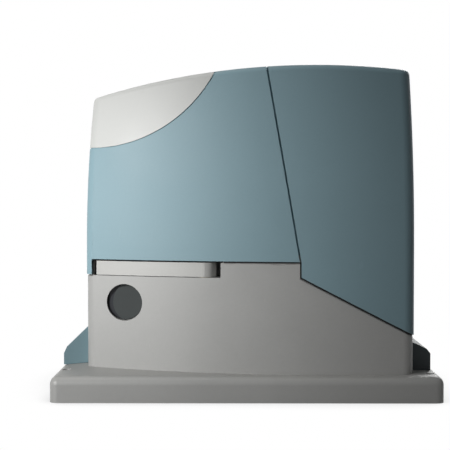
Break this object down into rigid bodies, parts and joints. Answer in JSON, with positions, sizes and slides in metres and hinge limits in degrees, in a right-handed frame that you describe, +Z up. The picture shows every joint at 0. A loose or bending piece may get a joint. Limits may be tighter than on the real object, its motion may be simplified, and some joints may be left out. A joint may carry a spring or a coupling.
{
  "type": "sliding gate motor",
  "caption": "Boxy two-tone sliding gate opener on a wide base, with a rack pinion behind, a release lever and lock at the front, and its motor, gears and control board inside.",
  "frame": {"origin": "on the ground, under the middle of the machine's overall length and depth", "axes": "+X along the gate with the release lever's free end on the -X side, -Y is the front, +Y faces the gate and its rack, +Z up"},
  "size_m": [0.33, 0.212, 0.2968],
  "materials": {
    "base_casting": "satin light grey paint over a die casting",
    "housing_grey": "satin light grey paint over a die casting",
    "cover_blue": "moulded, fine grain, grey-blue",
    "cover_blue_dark": "moulded, fine grain, deeper grey-blue",
    "trim_silver": "pale silver lacquer",
    "lever_grey": "satin light grey",
    "cap_blue": "moulded, fine grain, grey-blue",
    "shutter_dark": "dark grey, fine grain",
    "raw_aluminium": "as cast, with machined faces",
    "steel": "ground",
    "zinc_steel": "zinc plated",
    "black_steel": "black oxide",
    "bronze": "machined bronze",
    "brass_nickel": "nickel plated",
    "motor_paint": "black paint",
    "laminations": "varnished sheet stack",
    "magnet": "sintered",
    "copper": "varnished winding",
    "carbon": "pressed carbon",
    "black_plastic": "moulded",
    "rubber_black": "soft",
    "board_green": "lacquered circuit board",
    "terminal_green": "moulded",
    "parts_dark": "mixed moulded component bodies",
    "button_red": "moulded",
    "button_black": "moulded",
    "carrier_grey": "moulded"
  },
  "bodies": {
    "drive_unit": {"base_plate": "base_casting", "levelling_screws": "zinc_steel", "cable_grommet": "rubber_black", "lower_housing": "housing_grey", "housing_screws": "zinc_steel", "gearcase_body": "raw_aluminium", "gearcase_lid": "raw_aluminium", "gearcase_bolts": "zinc_steel", "output_bearings": "steel", "worm_bearings": "steel", "output_seal": "rubber_black", "motor_flange": "raw_aluminium", "motor_can": "motor_paint", "stator_magnets": "magnet", "motor_end_cap": "black_plastic", "brushes": "carbon", "encoder_board": "board_green", "release_bush": "brass_nickel", "lock_body": "zinc_steel", "transformer_core": "laminations", "transformer_winding": "copper", "transformer_bracket": "zinc_steel", "board_carrier": "carrier_grey", "control_board": "board_green", "terminal_blocks": "terminal_green", "board_components": "parts_dark", "battery_tray": "carrier_grey"},
    "output": {"output_shaft": "steel", "worm_wheel": "bronze", "drive_pinion": "zinc_steel", "pinion_key": "steel", "pinion_screw": "black_steel"},
    "clutch": {"clutch_sleeve": "steel", "release_rod": "steel", "clutch_spring": "steel"},
    "rotor": {"rotor_shaft": "steel", "armature_core": "laminations", "armature_winding": "copper", "commutator": "copper", "encoder_magnet": "magnet"},
    "release_handle": {"release_lever": "lever_grey", "release_cam": "zinc_steel", "lever_screw": "zinc_steel"},
    "lock_core": {"lock_barrel": "brass_nickel", "lock_tongue": "zinc_steel"},
    "lock_slide": {"lock_shutter": "shutter_dark"},
    "cover": {"cover_left_shell": "cover_blue", "cover_right_shell": "cover_blue_dark", "trim_plate": "trim_silver", "cover_screws": "zinc_steel"},
    "open_key": {"button_open": "button_black"},
    "stop_key": {"button_stop": "button_red"},
    "close_key": {"button_close": "button_black"},
    "left_cap": {"anchor_cap_left": "cap_blue"},
    "right_cap": {"anchor_cap_right": "cap_blue"}
  },
  "joints": [
    {"name": "pinion_spin", "type": "hinge", "parent": "drive_unit", "child": "output", "pos_m": [-0.0355, 0, 0.095], "axis": [0, 1, 0], "continuous": true},
    {"name": "rotor_spin", "type": "hinge", "parent": "drive_unit", "child": "rotor", "pos_m": [0.0085, -0.014, 0], "axis": [0, 0, 1], "continuous": true},
    {"name": "lever_swing", "type": "hinge", "parent": "drive_unit", "child": "release_handle", "pos_m": [-0.0355, -0.07356, 0.095], "axis": [0, 0, 1], "range_deg": [0, 90]},
    {"name": "clutch_slide", "type": "slide", "parent": "output", "child": "clutch", "axis": [0, 1, 0], "range_m": [0, 0.0045]},
    {"name": "lock_turn", "type": "hinge", "parent": "drive_unit", "child": "lock_core", "pos_m": [-0.106, -0.05, 0.08], "axis": [0, -1, 0], "range_deg": [0, 90]},
    {"name": "shutter_slide", "type": "slide", "parent": "drive_unit", "child": "lock_slide", "axis": [1, 0, 0], "range_m": [0, 0.022]},
    {"name": "cover_lift", "type": "slide", "parent": "drive_unit", "child": "cover", "axis": [0, 0, 1], "range_m": [0, 0.23]},
    {"name": "open_press", "type": "slide", "parent": "drive_unit", "child": "open_key", "axis": [0, 1, 0], "range_m": [0, 0.0012], "stiffness_N_per_m": 400, "springref_m": -0.0004},
    {"name": "stop_press", "type": "slide", "parent": "drive_unit", "child": "stop_key", "axis": [0, 1, 0], "range_m": [0, 0.0012], "stiffness_N_per_m": 400, "springref_m": -0.0004},
    {"name": "close_press", "type": "slide", "parent": "drive_unit", "child": "close_key", "axis": [0, 1, 0], "range_m": [0, 0.0012], "stiffness_N_per_m": 400, "springref_m": -0.0004},
    {"name": "left_cap_lift", "type": "slide", "parent": "drive_unit", "child": "left_cap", "axis": [0, 0, 1], "range_m": [0, 0.04]},
    {"name": "right_cap_lift", "type": "slide", "parent": "drive_unit", "child": "right_cap", "axis": [0, 0, 1], "range_m": [0, 0.04]}
  ],
  "couplings": [
    {"joint": "rotor_spin", "follows": "pinion_spin", "ratio": 30},
    {"joint": "clutch_slide", "follows": "lever_swing", "m_per_rad": 0.002864}
  ]
}
